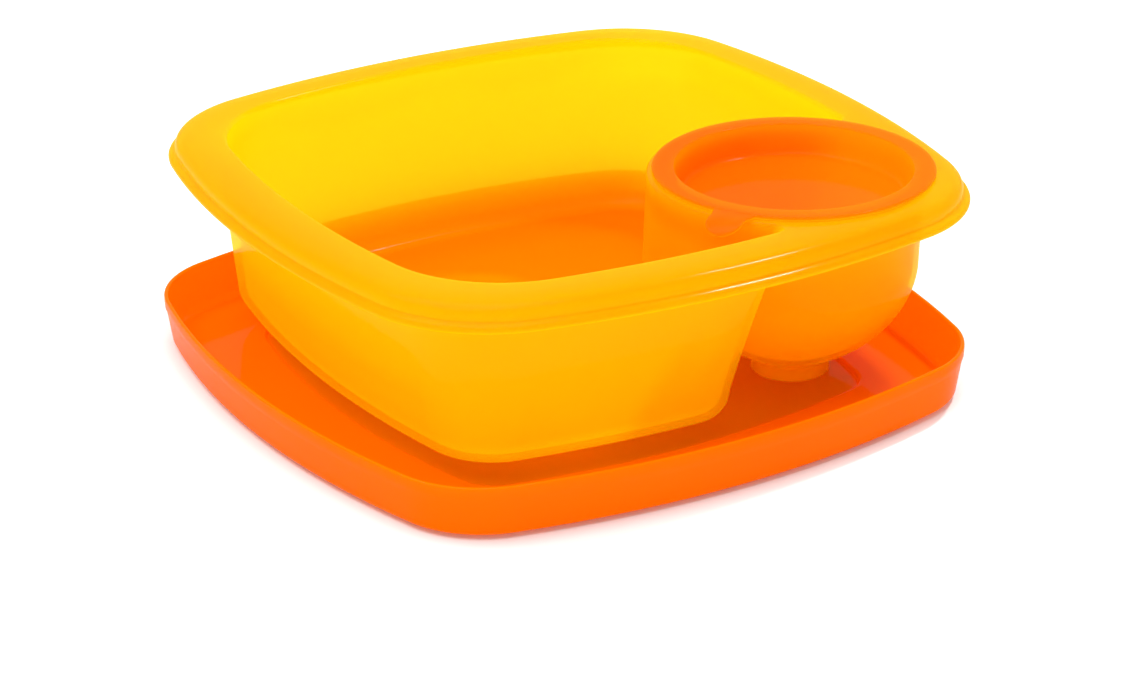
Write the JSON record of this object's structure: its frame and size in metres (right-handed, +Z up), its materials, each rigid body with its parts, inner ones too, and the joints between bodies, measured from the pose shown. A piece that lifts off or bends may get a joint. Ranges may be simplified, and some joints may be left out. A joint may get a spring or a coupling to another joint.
{
  "type": "chip and dip server",
  "caption": "Square serving bowl with an L-shaped compartment and a sealed dip cup in one corner, standing in its upturned cover as a tray.",
  "frame": {"origin": "on the table under the middle of the tray", "axes": "+Z up; +X and -Y are the two sides that meet at the dip cup's corner"},
  "size_m": [0.2124, 0.2132, 0.0653],
  "materials": {
    "orange_plastic": "glossy, opaque to slightly translucent orange polypropylene",
    "yellow_plastic": "satin, translucent yellow polypropylene"
  },
  "bodies": {
    "tray": {"tray_cover": "orange_plastic"},
    "bowl": {"bowl": "yellow_plastic"},
    "seal": {"cup_seal": "orange_plastic"}
  },
  "joints": [
    {"name": "bowl_lift", "type": "slide", "parent": "tray", "child": "bowl", "axis": [0, 0, 1], "range_m": [0, 0.12]},
    {"name": "seal_lift", "type": "slide", "parent": "bowl", "child": "seal", "axis": [0, 0, 1], "range_m": [0, 0.05]}
  ]
}
